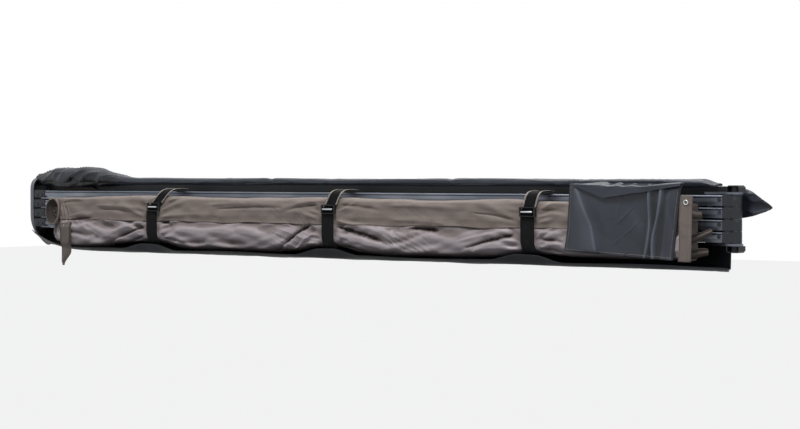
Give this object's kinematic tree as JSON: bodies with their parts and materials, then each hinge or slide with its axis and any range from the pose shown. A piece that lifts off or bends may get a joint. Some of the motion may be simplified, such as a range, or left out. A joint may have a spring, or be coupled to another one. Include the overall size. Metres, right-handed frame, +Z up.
{
  "type": "vehicle side awning",
  "caption": "Fold-out vehicle side awning, packed: a rail, hub-hinged arms with telescopic legs in them, a folded and strapped canopy, and an open cover.",
  "frame": {"origin": "on the rail's flat back face, half way along the rail and level with the middle of the hub", "axes": "+X along the rail towards the hub, +Y out of the rail's back face towards the vehicle, +Z up"},
  "size_m": [2.4996, 0.1414, 0.2994],
  "materials": {
    "black_anodised": "satin black anodised extrusion",
    "grey_aluminium": "grey anodised, fine draw lines",
    "bright_aluminium": "clear anodised drawn tube",
    "bright_steel": "zinc plated",
    "black_casting": "black powder coat",
    "black_plastic": "moulded nylon",
    "black_rubber": "matt",
    "taupe_cloth": "coated ripstop canvas",
    "black_webbing": "woven polypropylene webbing",
    "black_coated_cloth": "PVC coated cloth",
    "grey_coated_cloth": "PVC coated cloth, semi-gloss"
  },
  "bodies": {
    "rail": {"back_rail": "black_anodised", "rail_front_cap": "black_plastic", "hub_bracket": "grey_aluminium", "hub_bracket_bolt_1": "bright_steel", "hub_bracket_bolt_2": "bright_steel", "hub_top_cap": "black_plastic", "hub_bottom_cap": "black_plastic", "hub_pin": "bright_steel", "hub_nut": "bright_steel", "hub_top_washer": "bright_steel", "hub_bottom_washer": "bright_steel", "canopy_section_1": "taupe_cloth", "cover_top_flap": "grey_coated_cloth", "cover_tray": "black_coated_cloth", "cover_front_panel": "grey_coated_cloth", "cover_rear_flap": "grey_coated_cloth"},
    "arm_1": {"arm_1_knuckle": "black_casting", "arm_1_channel": "grey_aluminium", "arm_1_saddle": "grey_aluminium"},
    "leg_1": {"leg_1_head": "black_plastic", "leg_1_outer_tube": "grey_aluminium"},
    "leg_1_lock": {"leg_1_lock": "black_plastic"},
    "leg_1_extension": {"leg_1_inner_tube": "bright_aluminium", "leg_1_foot": "black_rubber"},
    "arm_2": {"arm_2_knuckle": "black_casting", "arm_2_channel": "grey_aluminium", "arm_2_saddle": "grey_aluminium", "canopy_section_2": "taupe_cloth"},
    "leg_2": {"leg_2_head": "black_plastic", "leg_2_outer_tube": "grey_aluminium"},
    "leg_2_lock": {"leg_2_lock": "black_plastic"},
    "leg_2_extension": {"leg_2_inner_tube": "bright_aluminium", "leg_2_foot": "black_rubber"},
    "arm_3": {"arm_3_knuckle": "black_casting", "arm_3_channel": "grey_aluminium", "arm_3_saddle": "grey_aluminium", "canopy_section_3": "taupe_cloth"},
    "leg_3": {"leg_3_head": "black_plastic", "leg_3_outer_tube": "grey_aluminium"},
    "leg_3_lock": {"leg_3_lock": "black_plastic"},
    "leg_3_extension": {"leg_3_inner_tube": "bright_aluminium", "leg_3_foot": "black_rubber"},
    "arm_4": {"arm_4_knuckle": "black_casting", "arm_4_channel": "grey_aluminium", "arm_4_saddle": "grey_aluminium", "canopy_section_4": "taupe_cloth", "strap_1": "black_webbing", "strap_2": "black_webbing", "strap_3": "black_webbing", "strap_buckle_1": "black_plastic", "strap_buckle_2": "black_plastic", "strap_buckle_3": "black_plastic", "hub_panel": "grey_coated_cloth", "canopy_hem": "taupe_cloth", "canopy_corner_flap": "taupe_cloth"},
    "leg_4": {"leg_4_head": "black_plastic", "leg_4_outer_tube": "grey_aluminium"},
    "leg_4_lock": {"leg_4_lock": "black_plastic"},
    "leg_4_extension": {"leg_4_inner_tube": "bright_aluminium", "leg_4_foot": "black_rubber"}
  },
  "joints": [
    {"name": "arm_1_swing", "type": "hinge", "parent": "rail", "child": "arm_1", "pos_m": [1.202, -0.053, 0.04425], "axis": [0, 0, 1], "range_deg": [0, 67.5]},
    {"name": "leg_1_fold", "type": "hinge", "parent": "arm_1", "child": "leg_1", "pos_m": [-1.1875, -0.053, 0.04375], "axis": [0, 1, 0], "range_deg": [0, 90]},
    {"name": "leg_1_extend", "type": "slide", "parent": "leg_1", "child": "leg_1_extension", "axis": [1, 0, 0], "range_m": [0, 1]},
    {"name": "leg_1_lock_turn", "type": "hinge", "parent": "leg_1", "child": "leg_1_lock", "pos_m": [0, -0.0489, 0.04375], "axis": [1, 0, 0], "range_deg": [0, 90]},
    {"name": "arm_2_swing", "type": "hinge", "parent": "arm_1", "child": "arm_2", "pos_m": [1.202, -0.053, 0.01475], "axis": [0, 0, 1], "range_deg": [0, 67.5]},
    {"name": "leg_2_fold", "type": "hinge", "parent": "arm_2", "child": "leg_2", "pos_m": [-1.1875, -0.053, 0.01425], "axis": [0, 1, 0], "range_deg": [0, 90]},
    {"name": "leg_2_extend", "type": "slide", "parent": "leg_2", "child": "leg_2_extension", "axis": [1, 0, 0], "range_m": [0, 1]},
    {"name": "leg_2_lock_turn", "type": "hinge", "parent": "leg_2", "child": "leg_2_lock", "pos_m": [0, -0.0489, 0.01425], "axis": [1, 0, 0], "range_deg": [0, 90]},
    {"name": "arm_3_swing", "type": "hinge", "parent": "arm_2", "child": "arm_3", "pos_m": [1.202, -0.053, -0.01475], "axis": [0, 0, 1], "range_deg": [0, 67.5]},
    {"name": "leg_3_fold", "type": "hinge", "parent": "arm_3", "child": "leg_3", "pos_m": [-1.1875, -0.053, -0.01525], "axis": [0, 1, 0], "range_deg": [0, 90]},
    {"name": "leg_3_extend", "type": "slide", "parent": "leg_3", "child": "leg_3_extension", "axis": [1, 0, 0], "range_m": [0, 1]},
    {"name": "leg_3_lock_turn", "type": "hinge", "parent": "leg_3", "child": "leg_3_lock", "pos_m": [0, -0.0489, -0.01525], "axis": [1, 0, 0], "range_deg": [0, 90]},
    {"name": "arm_4_swing", "type": "hinge", "parent": "arm_3", "child": "arm_4", "pos_m": [1.202, -0.053, -0.04425], "axis": [0, 0, 1], "range_deg": [0, 67.5]},
    {"name": "leg_4_fold", "type": "hinge", "parent": "arm_4", "child": "leg_4", "pos_m": [-1.1875, -0.053, -0.04475], "axis": [0, 1, 0], "range_deg": [0, 90]},
    {"name": "leg_4_extend", "type": "slide", "parent": "leg_4", "child": "leg_4_extension", "axis": [1, 0, 0], "range_m": [0, 1]},
    {"name": "leg_4_lock_turn", "type": "hinge", "parent": "leg_4", "child": "leg_4_lock", "pos_m": [0, -0.0489, -0.04475], "axis": [1, 0, 0], "range_deg": [0, 90]}
  ],
  "couplings": [
    {"joint": "leg_1_fold", "follows": "arm_1_swing", "ratio": 1.3333},
    {"joint": "arm_2_swing", "follows": "arm_1_swing", "ratio": 1},
    {"joint": "leg_2_fold", "follows": "arm_1_swing", "ratio": 1.3333},
    {"joint": "arm_3_swing", "follows": "arm_1_swing", "ratio": 1},
    {"joint": "leg_3_fold", "follows": "arm_1_swing", "ratio": 1.3333},
    {"joint": "arm_4_swing", "follows": "arm_1_swing", "ratio": 1},
    {"joint": "leg_4_fold", "follows": "arm_1_swing", "ratio": 1.3333}
  ]
}
